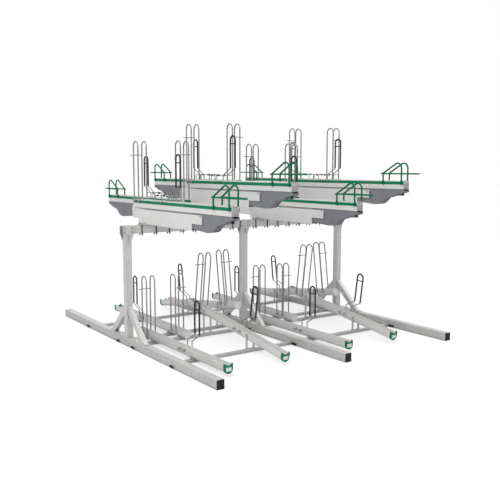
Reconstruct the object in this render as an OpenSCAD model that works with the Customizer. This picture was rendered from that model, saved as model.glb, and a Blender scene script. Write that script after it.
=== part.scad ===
// Two tier bike rack, free standing and double sided, with two bays.
// Eight sliding and tilting trays stand on the beams, and eight fixed troughs
// lie below them. Every second place is loaded from the other side, and the
// third and fourth place of a bay stand higher, so that handlebars pass.
// X runs along the beams, Y along the runners, Z is up, and the floor is Z = 0.

/* [Bays and places] */
// Distance from one runner to the next
bay_w = 1600; // [1580:5:1660]
// Distance from a post line to the nearest place
place_side = 267.5; // [262.5:0.5:275]
// Height of the raised upper places over the low ones
tier_step = 220; // [200:5:240]

/* [Runners and posts] */
// Length of a floor runner with its end caps
runner_len = 3930; // [3900:10:4000]
// Width of a runner tube
runner_w = 84; // [80:1:90]
// Height of a runner tube
runner_h = 94; // [88:1:100]
// Wall of the runner, post and beam tubes
tube_wall = 4; // [3:0.5:5]
// Thickness of the face of a tube end cap
cap_face = 6; // [4:1:8]
// Length of the plug of an end cap inside its tube
cap_plug = 25; // [15:1:35]
// Post size along the beam
post_w = 75; // [70:1:78]
// Post size along the runner
post_d = 80; // [76:1:84]
// Length of the foot plate on a runner
foot_len = 940; // [920:5:980]
// Width of the foot plate
foot_w = 80; // [78:1:82]
// Thickness of the foot plate
foot_t = 9; // [6:1:12]
// Distance of the foot plate bolts from the post centre, near pair
foot_bolt_near = 120; // [110:1:130]
// Distance of the foot plate bolts from the post centre, far pair
foot_bolt_far = 205; // [195:1:215]
// Half the distance between the two bolts of a pair
foot_bolt_x = 24; // [20:1:26]
// Height at which the upper edge of a brace meets its post
brace_top = 474; // [460:1:490]
// Distance from the post centre at which that edge meets the foot plate
brace_foot = 450; // [440:1:455]
// Brace tube size along the beam
brace_w = 50; // [46:1:54]
// Brace tube size square to its run
brace_d = 70; // [64:1:74]
// Wall of the brace tube
brace_wall = 3; // [2:0.5:4]
// Distance of a floor anchor from the end of its runner
anchor_in = 90; // [80:1:100]
// Radius of a floor anchor hole
anchor_r = 7; // [6:0.5:8]

/* [Beams and heads] */
// Height of the beam underside over the floor
beam_z = 1292; // [1270:1:1310]
// Beam size along the runner
beam_d = 50; // [48:1:52]
// Beam height
beam_h = 95; // [92:1:100]
// Length of beam past the centre of the outer post
beam_past = 72; // [70:1:80]
// Gap between the two beams on the middle post
beam_gap = 4; // [2:1:6]
// Thickness of a head cheek plate
cheek_t = 6; // [5:1:8]
// Width of a head cheek plate
cheek_w = 130; // [126:1:134]
// Depth of a head cheek plate below the beam
cheek_low = 75; // [70:1:80]
// Set back of a packer from the edge of its cheek plate
packer_in = 6; // [4:1:8]
// Distance of the beam bolts from the post centre
head_bolt_x = 44; // [42:1:48]
// Distance of the beam bolts from the top and bottom of the beam
head_bolt_in = 24; // [22:1:28]
// Depth of the upper post bolt below the beam
post_bolt_drop = 20; // [18:1:22]
// Distance between the two post bolts
post_bolt_gap = 32; // [30:1:34]

/* [Bolts] */
// Radius of a frame bolt
bolt_r = 6; // [5:0.5:6]
// Play of a bolt in its hole
bolt_play = 0.5; // [0.4:0.1:0.8]
// Size over the flats of a bolt head and nut
bolt_flats = 19; // [17:1:20]
// Height of a bolt head
bolt_head = 8; // [6:1:9]
// Height of a nut
nut_h = 10; // [8:1:11]
// Length of thread past a nut
bolt_tail = 5; // [3:1:7]

/* [Tray seats] */
// Length of a seat plate along the beam
seat_w = 230; // [224:1:240]
// Depth of a seat plate and of the clamp straps
seat_d = 94; // [90:1:100]
// Thickness of a seat plate
seat_t = 8; // [6:1:10]
// Distance of the clamp rods from the centre of a place
clamp_x = 92; // [88:1:96]
// Radius of a clamp rod
clamp_r = 5; // [4:0.5:5.5]
// Play of a clamp rod beside the beam
clamp_side = 1; // [0.6:0.1:1.4]
// Width of a clamp strap below the beam
strap_w = 24; // [22:1:28]
// Thickness of a clamp strap
strap_t = 6; // [5:1:8]
// Size over the flats of a clamp nut
clamp_flats = 17; // [15:1:18]
// Height of a clamp nut
clamp_nut = 8; // [7:1:9]
// Length of thread that hangs below the lower nut
clamp_tail = 14; // [10:1:18]
// Length of thread over the upper nut
clamp_top = 6; // [4:1:8]
// Depth of the riser under a raised place
riser_d = 80; // [70:1:90]

/* [Support box] */
// Inner width of the support box
box_in = 78; // [77:0.5:80]
// Sheet of the support box
box_t = 4; // [3:0.5:4]
// Height of the support box
box_h = 167; // [163:1:170]
// Distance from the beam centre to the loading end of the box
box_front = 1275; // [1272:1:1280]
// Distance from the beam centre to the inner end of the box
box_back = 165; // [162:1:175]
// Distance from the beam centre to the notch for the arm
box_notch = 1074; // [1064:1:1076]
// Height of the notch under the box sides
notch_h = 73; // [71:1:78]
// Depth of the top of the inner end plate below the box top
box_end_drop = 22; // [18:1:30]
// Distance of the rest plate for the arm from the beam centre
rest_y = 100; // [90:1:110]
// Thickness of the rest plate
rest_t = 6; // [5:1:8]

/* [Arm] */
// Distance of the pivot from the beam centre
pivot_y = 1245; // [1243:1:1247]
// Depth of the pivot below the top of the box
pivot_drop = 12; // [11.5:0.5:12.5]
// Radius of the pivot pin
pivot_r = 8; // [7:0.5:8]
// Running play of the pivot pin
pivot_play = 0.05; // [0.03:0.01:0.08]
// Wall of the pivot sleeve
sleeve_wall = 3; // [2.5:0.5:3]
// Height of the head and nut of the pivot pin
pivot_head = 7; // [5:1:8]
// Depth of the belly of the arm below the pivot
arm_depth = 157; // [150:1:159]
// Reach of the arm past the loading end of the tray
arm_past = 7; // [4:1:9]
// Width of the arm housing
arm_w = 74; // [72:0.5:75]
// Sheet of the arm housing
arm_t = 3; // [2:0.5:3]
// Gap between the arm housing and the tray
arm_gap = 2; // [1.5:0.5:3]
// Width of the spar inside the arm
spar_w = 40; // [36:1:42]
// Height of the spar
spar_h = 50; // [46:1:54]
// Height of the spar top over the pivot
spar_over = 5; // [3:0.5:6]
// Wall of the spar
spar_wall = 3; // [2:0.5:4]
// Distance from the beam centre to the inner end of the spar
spar_back = 150; // [146:1:152]
// Distance from the beam centre to the outer end of the spar
spar_front = 1770; // [1768:1:1776]
// Size of the ties between spar and housing
tie = 20; // [16:1:24]
// Distance of the outer tie from the beam centre
tie_out = 1500; // [1480:1:1520]
// Distance of the inner tie from the beam centre
tie_in = 1100; // [1098:1:1110]
// Width of the dark slot in the housing side
slot_w = 9; // [7:1:11]
// Height of the slot
slot_h = 94; // [86:1:96]
// Distance of the slot from the pivot
slot_y = 47; // [44:1:60]
// Depth of the slot top below the pivot
slot_drop = 5; // [4:1:8]
// Radius of the carrier axles
axle_r = 3; // [2.5:0.5:3.5]
// Length of one roller
roller_len = 17; // [14:1:18]
// Thickness of the roller carriers
carrier_w = 8; // [6:1:9]
// Length of the roller carriers
carrier_len = 24; // [20:1:28]

/* [Upper tray] */
// Width of the tray over its side walls
tray_w = 84; // [83:0.5:86]
// Height of the tray
tray_h = 95; // [92:1:98]
// Sheet of the tray
tray_t = 3; // [2:0.5:3]
// Width of the turned in lip
lip_w = 8; // [6:1:10]
// Gap between the support box and the tray
tray_rise = 18; // [18:0.5:19]
// Distance from the beam centre to the loading end of the tray
tray_front = 1812; // [1808:1:1816]
// Distance from the beam centre to the inner end of the tray
tray_back = 297; // [292:1:304]
// Height of the end cap in the loading end
tray_cap_h = 60; // [54:1:66]
// Thickness of that end cap
tray_cap_t = 6; // [5:1:8]
// Width of the slide rail under the tray
slide_w = 56; // [54:1:60]
// Height of the slide rail
slide_h = 16; // [15.5:0.5:16]
// Sheet of the slide rail
slide_t = 2.5; // [2:0.5:2.5]
// Width of the slot in the slide rail
slide_slot = 16; // [14:1:18]
// Distance of the slide rail ends from the tray ends
slide_in = 12; // [10:1:16]

/* [Trim and handle] */
// Thickness of the side strip
strip_t = 3; // [2.5:0.5:3.5]
// Height of the side strip
strip_h = 22; // [18:1:26]
// Height of the strip over the tray underside
strip_z = 53; // [50:1:56]
// Distance from the beam centre to the joint in the strip
strip_joint = 143; // [138:1:148]
// Gap at that joint
strip_gap = 6; // [4:1:8]
// Distance from the beam centre to the inner end of the strip
strip_back = 219; // [214:1:222]
// Thickness of the end guard
guard_t = 4; // [3:0.5:5]
// Height of the end guard
guard_h = 91; // [86:1:92]
// Radius of the handle tube
grip_r = 9; // [8:0.5:9.5]
// Distance from the beam centre to the outer handle legs
grip_out = 1785; // [1780:1:1790]
// Distance from the beam centre to the inner handle legs
grip_in = 1505; // [1500:1:1512]
// Height of the shoulder of the inner legs over the tray underside
grip_shoulder = 178; // [172:1:184]
// Rise of the handle slope
grip_slope = 29; // [27:0.5:31]
// Radius of the handle bend
grip_bend = 60; // [54:1:66]
// Height of the handle feet over the tray underside
grip_foot = 56; // [54:1:60]
// Size of the foot clamps of the handle
grip_clamp = 24; // [22:1:26]
// Wall of those clamps outside the handle tube
clamp_wall = 2; // [1.5:0.5:2.5]
// Radius of the pull bar
pull_r = 8; // [7:0.5:8.5]
// Height of the pull bar over the tray underside
pull_z = 173; // [166:1:176]
// Distance from the beam centre to the inner end of the pull bar
pull_in = 1475; // [1468:1:1480]
// Distance from the beam centre to the bend of the pull bar
pull_bend = 1806; // [1800:1:1812]
// Slant of the pull bar towards its nose
pull_taper = 11.2; // [10.8:0.1:11.6]
// Radius of that nose
pull_nose = 17; // [15:0.5:18]

/* [Wheel hoops and lock loops] */
// Radius of the hoop rod
hoop_r = 8; // [7:0.5:8.5]
// Distance between the two legs of a hoop
hoop_gap = 116; // [110:1:120]
// Distance of the upper hoops from the beam centre
hoop_y = 182; // [178:1:186]
// Height of the upper hoops over the tray lip
hoop_up = 675; // [650:5:700]
// Height of the lower hoops over the trough edge
hoop_low = 660; // [640:5:680]
// Depth of the hoop feet below the edge
hoop_foot = 44; // [40:1:45]
// Radius of the wheel stop
stop_r = 5; // [4:0.5:6]
// Distance of the wheel stop below the hoop top
stop_drop = 165; // [155:1:175]
// Reach of the wheel stop on the locking side
stop_near = 62; // [60:1:66]
// Reach of the wheel stop on the other side
stop_far = 95; // [88:1:100]
// Gap between parts that rest against each other
rest_gap = 0.2; // [0.1:0.05:0.3]
// Radius of the lock loop rod
loop_r = 6; // [5:0.5:6.5]
// Radius of the sleeve on the lock loop
loop_sleeve = 9; // [8:0.5:10]
// Distance of the lock loop from the centre of its place
loop_x = 75; // [72:1:80]
// Distance between the sleeved legs
loop_gap = 97; // [92:1:102]
// Height of the lock loop over the edge
loop_top = 512; // [500:1:525]
// Height of the lower end of the sleeves
loop_bare = 146; // [140:1:152]
// Height at which the bare legs turn down
loop_knee = 58; // [54:1:64]
// Distance from the sleeves back to the feet
loop_shift = 118; // [112:1:124]
// Distance of the cross bar below the loop top
eye_h = 96; // [90:1:104]
// Distance of the upper lock loop from the beam centre
loop_up_y = 588; // [580:1:596]
// Distance of the lower lock loop from the trough end
loop_low_y = 725; // [715:1:735]
// Radius of the guide rod beside the wheel
guide_r = 5; // [4:0.5:6]
// Distance from the beam centre to the outer guide leg
guide_out = 642; // [636:1:648]
// Distance from the beam centre to the inner guide leg
guide_in = 263; // [256:1:268]
// Height of the guide rod over the lip
guide_z = 58; // [52:1:60]
// Radius of a buffer on the guide rod
buffer_r = 11; // [9:1:12]
// Length of a buffer
buffer_len = 26; // [22:1:30]
// Distance of the outer buffer from the beam centre
buffer_out = 470; // [465:1:475]
// Distance of the inner buffer from the beam centre
buffer_in = 320; // [310:1:330]

/* [Lower trough] */
// Width of the lower trough
trough_w = 90; // [88:0.5:91]
// Height of the straight trough sides
trough_side = 45; // [43:0.5:46]
// Sheet of the trough
trough_t = 3; // [2:0.5:3]
// Height of the trough edge at the loading end
trough_z = 130; // [126:1:134]
// Distance from the post line to the loading end of the trough
trough_front = 1690; // [1680:1:1700]
// Length of the trough
trough_len = 1980; // [1960:5:2000]
// Slope of the raised troughs
trough_slope = 8; // [7:0.25:9]
// Distance of the lower hoops from the trough end
hoop_low_y = 1712; // [1700:1:1724]
// Wall of the green end shoe
shoe_wall = 5; // [4:0.5:6]
// Thickness of the end shoe in front of the trough
shoe_face = 4; // [3:0.5:5]
// Length of the end shoe over the trough
shoe_grip = 20; // [16:1:24]
// Height of the horns of the end shoe
shoe_horn = 8; // [6:1:12]
// Depth of the dip between the horns, below the trough edge
shoe_dip = 16; // [10:1:24]

/* [Floor rails] */
// Distance of the inner rails from the post line
rail_in = 130; // [126:1:140]
// Distance of the outer rails from the post line
rail_out = 1042; // [1034:1:1050]
// Depth of a floor rail
rail_d = 40; // [36:1:44]
// Height of a floor rail
rail_h = 34; // [30:1:36]
// Wall of a floor rail
rail_wall = 3; // [2:0.5:3.5]
// Thickness of the rail flanges
flange_t = 4; // [3:0.5:5]
// Distance of the flange bolts from the rail centre
flange_bolt = 68; // [62:1:72]
// Distance between the two bolts of a flange
flange_bolt_gap = 36; // [32:1:40]
// Length of flange past the middle of its bolts
flange_edge = 34; // [32:1:38]
// Radius of a flange bolt
rail_bolt_r = 5; // [4:0.5:6]
// Size over the flats of a flange bolt head
rail_flats = 17; // [15:1:19]
// Height of a flange bolt head
rail_head = 12; // [8:1:14]
// Width of a cradle under a flat trough
cradle_w = 108; // [104:1:112]
// Depth of a cradle and of the leg feet
cradle_d = 36; // [32:1:40]
// Height of a cradle
cradle_h = 24; // [20:1:28]
// Thickness of the legs under a raised trough
leg_t = 6; // [5:0.5:7]
// Width of those legs
leg_d = 30; // [26:1:34]
// Thickness of the leg feet
leg_foot = 5; // [4:0.5:6]
// Depth of the leg tops below the trough edge
leg_drop = 14; // [12:1:18]
// Radius of the leg bolt heads
leg_bolt = 7; // [6:0.5:8]

/* [Hidden] */
$fn = 48;

// Overrun of every cut
over = 1;
// Reach of a straight tube into its bend, and how much thinner the bend is
weld = 1;
skin = 0.1;
// How far the weld at a sharp corner of a bar stands proud of the bar
knuckle = 0.5;
// Places of the rollers, as shares of the way from the beam centre to the spar end
roller_shares = [0.99, 0.84, 0.68, 0.4, 0.06];
// Underside of the arm housing from the pivot, loading end first, as shares of
// the reach of the arm and of the depth of its belly
belly_shares = [
  [-1, -0.02], [-0.52, -0.49], [-0.47, -0.66], [-0.375, -0.91], [-0.21, -1],
  [0.06, -0.925], [0.3, -0.85]
];

// Colours
galvanised = [0.74, 0.75, 0.75];
pale_steel = [0.82, 0.83, 0.83];
green = [0.05, 0.47, 0.29];
dark_grey = [0.45, 0.46, 0.48];
black = [0.13, 0.13, 0.13];

// Heights that follow from the sizes above
post_foot = runner_h + foot_t;
seat_z = beam_z + beam_h;
box_z = seat_z + seat_t;
box_top = box_z + box_h;
tray_z = box_top + tray_rise;
edge_z = tray_z + tray_h;
pivot_z = box_top - pivot_drop;
arm_reach = tray_front + arm_past - pivot_y;
belly = [for (share = belly_shares) [share.x * arm_reach, share.y * arm_depth]];
arm_top = tray_rise + pivot_drop - arm_gap;
slide_z = tray_z - slide_h;
roller_r = (slide_h - slide_t) / 2 - rest_gap;
roller_z = slide_z + slide_t + rest_gap + roller_r;
packer_t = (post_d - beam_d) / 2;
clamp_y = beam_d / 2 + clamp_side + clamp_r;
head_side = bolt_flats / sqrt(3);
clamp_side_len = clamp_flats / sqrt(3);
rail_side = rail_flats / sqrt(3);
hoop_x = trough_w / 2 + rest_gap + hoop_r;
foot_x = trough_w / 2 + rest_gap + loop_r;
tray_hoop_x = tray_w / 2 + strip_t + rest_gap + hoop_r;
tray_foot_x = tray_w / 2 + strip_t + rest_gap + loop_r;
grip_x = tray_w / 2 + rest_gap + grip_r;
trough_low = trough_z - trough_side - trough_w / 2;
rail_top = trough_low - rest_gap;
rail_z = rail_top - rail_h / 2;
shoe_r = trough_w / 2 + shoe_wall;
beam_end = bay_w + beam_past;
place_pitch = (bay_w - 2 * place_side) / 3;

function place_x(k) = (floor(k / 4) - 1 / 2) * bay_w + (k % 4 - 3 / 2) * place_pitch;
function is_raised(k) = k % 4 > 1;
function is_back(k) = k % 2 == 1;
function toward(v) = v / norm(v);
function corner(a, b, c, t) =
  let (u = toward(b - a), v = toward(c - b), m = [-u.y, u.x], n = [-v.y, v.x], s = toward(m + n))
  b + s * t / (s * m);
function shrink(p, t) = [
  for (i = [0:len(p) - 1])
    corner(p[(i + len(p) - 1) % len(p)], p[i], p[(i + 1) % len(p)], t)
];

// Puts a part of place k where it belongs, turned to its loading side
module at_place(k, lift) {
  translate([place_x(k), 0, is_raised(k) ? lift : 0])
    rotate([0, 0, is_back(k) ? 180 : 0])
      children();
}

// Puts a part on trough k, with the loading end at zero and the edge at zero
module at_trough(k) {
  at_place(k, 0)
    translate([0, -trough_front, trough_z])
      rotate([is_raised(k) ? trough_slope : 0, 0, 0])
        children();
}

// Block centred in X, from y0 to y1 and from z0 to z1
module slab(w, y0, y1, z0, z1) {
  translate([-w / 2, y0, z0])
    cube([w, y1 - y0, z1 - z0]);
}

// Plate with a side outline in Y and Z, centred in X
module side_plate(w, outline) {
  rotate([90, 0, 90])
    translate([0, 0, -w / 2])
      linear_extrude(w)
        polygon(outline);
}

// Round bar between two points
module bar(a, b, r) {
  v = b - a;
  translate(a)
    rotate([0, acos(v.z / norm(v)), atan2(v.y, v.x)])
      cylinder(h = norm(v), r = r);
}

// Round bar bent in the YZ plane, from one angle to the other
module bend(size, r, from, to) {
  rotate([90, 0, 90])
    rotate([0, 0, from])
      rotate_extrude(angle = to - from)
        translate([size, 0])
          circle(r = r);
}

// Hexagon prism
module hexagon(side, h) {
  cylinder(h = h, r = side, $fn = 6);
}

// Bolt with head at the top, running down through a grip, with its nut
module bolt(grip) {
  hexagon(head_side, bolt_head);
  translate([0, 0, -grip - nut_h])
    hexagon(head_side, nut_h);
  translate([0, 0, -grip - nut_h - bolt_tail])
    cylinder(h = grip + nut_h + bolt_tail + bolt_head / 2, r = bolt_r);
}

module at_posts() {
  for (i = [-1:1])
    translate([i * bay_w, 0, 0])
      children();
}

module at_foot_bolts() {
  for (sy = [-1, 1], sx = [-1, 1], y = [foot_bolt_near, foot_bolt_far])
    translate([sx * foot_bolt_x, sy * y, 0])
      children();
}

module at_head_bolts() {
  for (sx = [-1, 1], z = [head_bolt_in, beam_h - head_bolt_in])
    translate([sx * head_bolt_x, 0, beam_z + z])
      children();
}

module at_post_bolts() {
  for (z = [post_bolt_drop, post_bolt_drop + post_bolt_gap])
    translate([0, 0, beam_z - z])
      children();
}

// Hole along Y through everything
module hole_y(r, reach) {
  rotate([90, 0, 0])
    cylinder(h = reach, r = r, center = true);
}

module hole_x(r, reach) {
  rotate([0, 90, 0])
    cylinder(h = reach, r = r, center = true);
}

// Flange bolts of a runner: both sides of the posts, inner and outer rails
module at_rail_bolts() {
  for (sy = [-1, 1], y = [rail_in, rail_out], side = [-1, 1])
    translate([0, sy * (y + flange_bolt) + side * flange_bolt_gap / 2, rail_z])
      children();
}

module runner(i) {
  tube_len = runner_len - 2 * cap_face;
  color(galvanised)
    translate([i * bay_w, 0, 0])
      difference() {
        slab(runner_w, -tube_len / 2, tube_len / 2, 0, runner_h);
        slab(
          runner_w - 2 * tube_wall, -tube_len / 2 - over, tube_len / 2 + over,
          tube_wall, runner_h - tube_wall
        );
        for (sy = [-1, 1])
          translate([0, sy * (runner_len / 2 - anchor_in), -over])
            cylinder(h = runner_h + 2 * over, r = anchor_r);
        translate([0, 0, runner_h - tube_wall - over])
          at_foot_bolts()
            cylinder(h = tube_wall + 2 * over, r = bolt_r + bolt_play);
        at_rail_bolts()
          hole_x(rail_bolt_r + bolt_play, runner_w + 2 * over);
      }
}

module post(i) {
  color(galvanised)
    translate([i * bay_w, 0, 0])
      difference() {
        slab(post_w, -post_d / 2, post_d / 2, post_foot, beam_z);
        slab(
          post_w - 2 * tube_wall, -post_d / 2 + tube_wall, post_d / 2 - tube_wall,
          post_foot - over, beam_z + over
        );
        at_post_bolts()
          hole_y(bolt_r + bolt_play, post_d + 2 * over);
      }
}

module beam(side) {
  inner = side > 0 ? beam_gap / 2 : -beam_end;
  outer = side > 0 ? beam_end : -beam_gap / 2;
  color(galvanised)
    difference() {
      translate([inner, -beam_d / 2, beam_z])
        cube([outer - inner, beam_d, beam_h]);
      translate([inner - over, -beam_d / 2 + tube_wall, beam_z + tube_wall])
        cube([outer - inner + 2 * over, beam_d - 2 * tube_wall, beam_h - 2 * tube_wall]);
      at_posts()
        at_head_bolts()
          hole_y(bolt_r + bolt_play, beam_d + 2 * over);
    }
}

// Plastic caps on the ends of the runners and on the outer ends of the beams
module tube_caps() {
  gap = tube_wall + rest_gap;
  color(black) {
    at_posts()
      for (sy = [0, 180])
        rotate([0, 0, sy])
          translate([0, runner_len / 2, 0]) {
            slab(runner_w, -cap_face, 0, 0, runner_h);
            slab(runner_w - 2 * gap, -cap_face - cap_plug, -cap_face, gap, runner_h - gap);
          }
    for (sx = [0, 180])
      rotate([0, 0, sx])
        translate([beam_end, 0, beam_z]) {
          translate([0, -beam_d / 2, 0])
            cube([cap_face, beam_d, beam_h]);
          translate([-cap_face, -beam_d / 2 + gap, gap])
            cube([cap_face, beam_d - 2 * gap, beam_h - 2 * gap]);
        }
  }
}

module foot_plates() {
  color(galvanised)
    at_posts()
      difference() {
        slab(foot_w, -foot_len / 2, foot_len / 2, runner_h, post_foot);
        translate([0, 0, runner_h - over])
          at_foot_bolts()
            cylinder(h = foot_t + 2 * over, r = bolt_r + bolt_play);
      }
}

// Slanting tube from the foot plate to the post, one on each side
module brace() {
  a = [post_d / 2, brace_top];
  b = [brace_foot, post_foot];
  run = toward(b - a);
  down = brace_d / run.x;
  wall = brace_wall / run.x;
  tread = brace_d / -run.y;
  edge = brace_wall / -run.y;
  difference() {
    side_plate(brace_w, [b, a, a - [0, down], b - [tread, 0]]);
    side_plate(
      brace_w - 2 * brace_wall,
      [
        b + run * over - [edge, 0], a - run * over - [0, wall],
        a - run * over - [0, down - wall], b + run * over - [tread - edge, 0]
      ]
    );
  }
}

module braces() {
  color(galvanised)
    at_posts()
      for (turn = [0, 180])
        rotate([0, 0, turn])
          brace();
}

module head_cheeks() {
  color(galvanised)
    at_posts()
      difference() {
        for (sy = [-1, 1])
          translate([0, sy * (post_d + cheek_t) / 2, 0])
            rotate([90, 0, 0])
              translate([0, 0, -cheek_t / 2])
                linear_extrude(cheek_t)
                  polygon([
                    [-post_w / 2, beam_z - cheek_low], [post_w / 2, beam_z - cheek_low],
                    [cheek_w / 2, beam_z], [cheek_w / 2, seat_z],
                    [-cheek_w / 2, seat_z], [-cheek_w / 2, beam_z]
                  ]);
        at_head_bolts()
          hole_y(bolt_r + bolt_play, 2 * post_d);
        at_post_bolts()
          hole_y(bolt_r + bolt_play, 2 * post_d);
      }
}

module head_packers() {
  packer_w = cheek_w - 2 * packer_in;
  color(galvanised)
    at_posts()
      difference() {
        for (sy = [-1, 1])
          translate([-packer_w / 2, sy * (beam_d + packer_t) / 2 - packer_t / 2, beam_z])
            cube([packer_w, packer_t, beam_h - packer_in]);
        at_head_bolts()
          hole_y(bolt_r + bolt_play, 2 * post_d);
      }
}

module head_bolts() {
  grip = post_d + 2 * cheek_t;
  color(galvanised)
    at_posts() {
      at_head_bolts()
        rotate([90, 0, 0])
          translate([0, 0, grip / 2])
            bolt(grip);
      at_post_bolts()
        rotate([90, 0, 0])
          translate([0, 0, grip / 2])
            bolt(grip);
    }
}

module foot_bolts() {
  color(galvanised)
    at_posts()
      translate([0, 0, post_foot])
        at_foot_bolts()
          bolt(foot_t + tube_wall);
}

module at_clamps() {
  for (sx = [-1, 1], sy = [-1, 1])
    translate([sx * clamp_x, sy * clamp_y, 0])
      children();
}

// Seat plate on the beam, straps below it, and a riser for a raised place
module tray_seat(k) {
  difference() {
    slab(seat_w, -seat_d / 2, seat_d / 2, seat_z, box_z);
    translate([0, 0, seat_z - over])
      at_clamps()
        cylinder(h = seat_t + 2 * over, r = clamp_r + bolt_play);
  }
  difference() {
    for (sx = [-1, 1])
      translate([sx * clamp_x, 0, 0])
        slab(strap_w, -seat_d / 2, seat_d / 2, beam_z - strap_t, beam_z);
    translate([0, 0, beam_z - strap_t - over])
      at_clamps()
        cylinder(h = strap_t + 2 * over, r = clamp_r + bolt_play);
  }
  if (is_raised(k)) {
    outer = box_in + 2 * box_t;
    difference() {
      slab(outer, -riser_d / 2, riser_d / 2, box_z, box_z + tier_step);
      slab(
        box_in, -riser_d / 2 + box_t, riser_d / 2 - box_t,
        box_z - over, box_z + tier_step + over
      );
    }
  }
}

module tray_seats() {
  color(galvanised)
    for (k = [0:7])
      at_place(k, 0)
        tray_seat(k);
}

module clamp_rods() {
  low = beam_z - strap_t - clamp_nut - clamp_tail;
  high = box_z + clamp_nut + clamp_top;
  color(galvanised)
    for (k = [0:7])
      at_place(k, 0)
        at_clamps() {
          translate([0, 0, low])
            cylinder(h = high - low, r = clamp_r);
          translate([0, 0, beam_z - strap_t - clamp_nut])
            hexagon(clamp_side_len, clamp_nut);
          translate([0, 0, box_z])
            hexagon(clamp_side_len, clamp_nut);
        }
}

module support_box() {
  side = [
    [-box_front, box_z + notch_h], [-box_notch, box_z + notch_h], [-box_notch, box_z],
    [box_back, box_z], [box_back, box_top], [-box_front, box_top]
  ];
  difference() {
    for (sx = [-1, 1])
      translate([sx * (box_in + box_t) / 2, 0, 0])
        side_plate(box_t, side);
    translate([0, -pivot_y, pivot_z])
      hole_x(pivot_r + pivot_play, 2 * box_in);
  }
  slab(box_in, -box_notch, box_back, box_z, box_z + box_t);
  slab(box_in, box_back - box_t, box_back, box_z, box_top - box_end_drop);
  slab(
    box_in, rest_y - rest_t, rest_y,
    box_z, pivot_z + spar_over - spar_h - rest_gap
  );
}

module support_boxes() {
  color(pale_steel)
    for (k = [0:7])
      at_place(k, tier_step)
        support_box();
}

module pivot_pins() {
  outer = box_in + 2 * box_t;
  color(galvanised)
    for (k = [0:7])
      at_place(k, tier_step)
        translate([0, -pivot_y, pivot_z]) {
          hole_x(pivot_r, outer + pivot_head);
          for (sx = [-1, 1])
            translate([sx * (outer + pivot_head) / 2, 0, 0])
              rotate([0, 90, 0])
                cylinder(h = pivot_head, r = pivot_r + sleeve_wall, center = true);
        }
}

module floor_rails() {
  rail_len = bay_w - runner_w;
  color(galvanised)
    for (bay = [-1, 1], sy = [0, 180], y = [rail_in, rail_out])
      translate([bay * bay_w / 2, 0, rail_z])
        rotate([0, 0, sy]) {
          difference() {
            slab(rail_len, y - rail_d / 2, y + rail_d / 2, -rail_h / 2, rail_h / 2);
            slab(
              rail_len + 2 * over, y - rail_d / 2 + rail_wall, y + rail_d / 2 - rail_wall,
              rail_wall - rail_h / 2, rail_h / 2 - rail_wall
            );
          }
          for (sx = [-1, 1])
            translate([sx * (rail_len - flange_t) / 2, 0, 0])
              difference() {
                slab(
                  flange_t, y + rail_d / 2, y + flange_bolt + flange_edge,
                  -rail_h / 2, rail_h / 2
                );
                for (side = [-1, 1])
                  translate([0, y + flange_bolt + side * flange_bolt_gap / 2, 0])
                    hole_x(rail_bolt_r + bolt_play, flange_t + 2 * over);
              }
        }
}

// Through bolts of the rail flanges, with a head and a nut outside
module rail_bolts() {
  color(black)
    for (i = [-1:1]) {
      left = -runner_w / 2 - (i > -1 ? flange_t : 0);
      right = runner_w / 2 + (i < 1 ? flange_t : 0);
      translate([i * bay_w, 0, 0])
        at_rail_bolts()
          rotate([0, 90, 0]) {
            translate([0, 0, left - rail_head / 2])
              cylinder(h = right - left + rail_head, r = rail_bolt_r);
            translate([0, 0, left - rail_head])
              hexagon(rail_side, rail_head);
            translate([0, 0, right])
              hexagon(rail_side, rail_head);
          }
    }
}

// Space of a trough with a round bottom, edge at zero
module trough_space(r, low, high, start, end) {
  intersection() {
    translate([0, start, -low])
      rotate([-90, 0, 0])
        cylinder(h = end - start, r = r);
    slab(2 * r, start, end, -low - r, -low);
  }
  slab(2 * r, start, end, -low, high);
}

module trough() {
  inner = trough_w / 2 - trough_t;
  difference() {
    trough_space(trough_w / 2, trough_side, 0, 0, trough_len);
    trough_space(inner, trough_side, over, -over, trough_len - trough_t);
  }
}

module troughs_flat() {
  color(pale_steel)
    for (k = [0, 1, 4, 5])
      at_trough(k)
        trough();
}

module troughs_raised() {
  color(pale_steel)
    for (k = [2, 3, 6, 7])
      at_trough(k)
        trough();
}

// End shoe round the trough, its face closed up to a dip between two horns
module trough_shoe() {
  inner = trough_w / 2 - trough_t;
  difference() {
    trough_space(shoe_r, trough_side, shoe_horn, -shoe_face, shoe_grip);
    trough_space(trough_w / 2 + rest_gap, trough_side, shoe_horn + over, 0, shoe_grip + over);
    rotate([90, 0, 0])
      linear_extrude(2 * shoe_face, center = true)
        polygon([
          [-inner, shoe_horn + over], [-inner, shoe_horn], [0, -shoe_dip],
          [inner, shoe_horn], [inner, shoe_horn + over]
        ]);
  }
}

module trough_shoes() {
  color(green)
    for (k = [0:7])
      at_trough(k)
        trough_shoe();
}

// Two hoops side by side with the wheel stop through their inner legs
module hoop_pair(x, height) {
  half = hoop_gap / 2;
  crown = height - hoop_r - half;
  for (sx = [-1, 1])
    translate([sx * x, 0, 0]) {
      for (sy = [-1, 1])
        bar([0, sy * half, -hoop_foot], [0, sy * half, crown], hoop_r);
      translate([0, 0, crown])
        bend(half, hoop_r, 0, 180);
    }
  bar([-stop_far, half, height - stop_drop], [stop_near, half, height - stop_drop], stop_r);
}

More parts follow.
